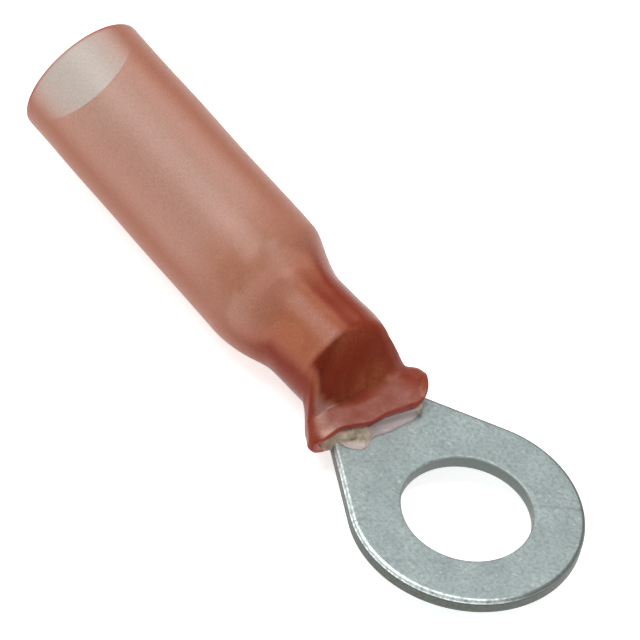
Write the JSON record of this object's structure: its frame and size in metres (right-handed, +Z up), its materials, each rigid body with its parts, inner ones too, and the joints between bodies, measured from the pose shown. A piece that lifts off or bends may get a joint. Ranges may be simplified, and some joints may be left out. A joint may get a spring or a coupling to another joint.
{
  "type": "ring terminal",
  "caption": "Insulated ring terminal: flat stamped ring tongue with a rolled wire barrel inside a translucent red heat-shrink sleeve, flared at its lip and open at the wire end.",
  "frame": {"origin": "centre of the stud hole on the underside of the tongue", "axes": "+Z up along the stud, +X from the wire barrel towards the front of the ring, wire entering from -X"},
  "size_m": [0.0366, 0.0116, 0.0083],
  "materials": {
    "tinned_copper": "matt tin plating",
    "sleeve_plastic": "translucent, satin",
    "hot_melt": "clear to amber hot-melt adhesive"
  },
  "bodies": {
    "root": {"ring_terminal": "tinned_copper", "shrink_sleeve": "sleeve_plastic", "adhesive_lining": "hot_melt"}
  },
  "joints": []
}
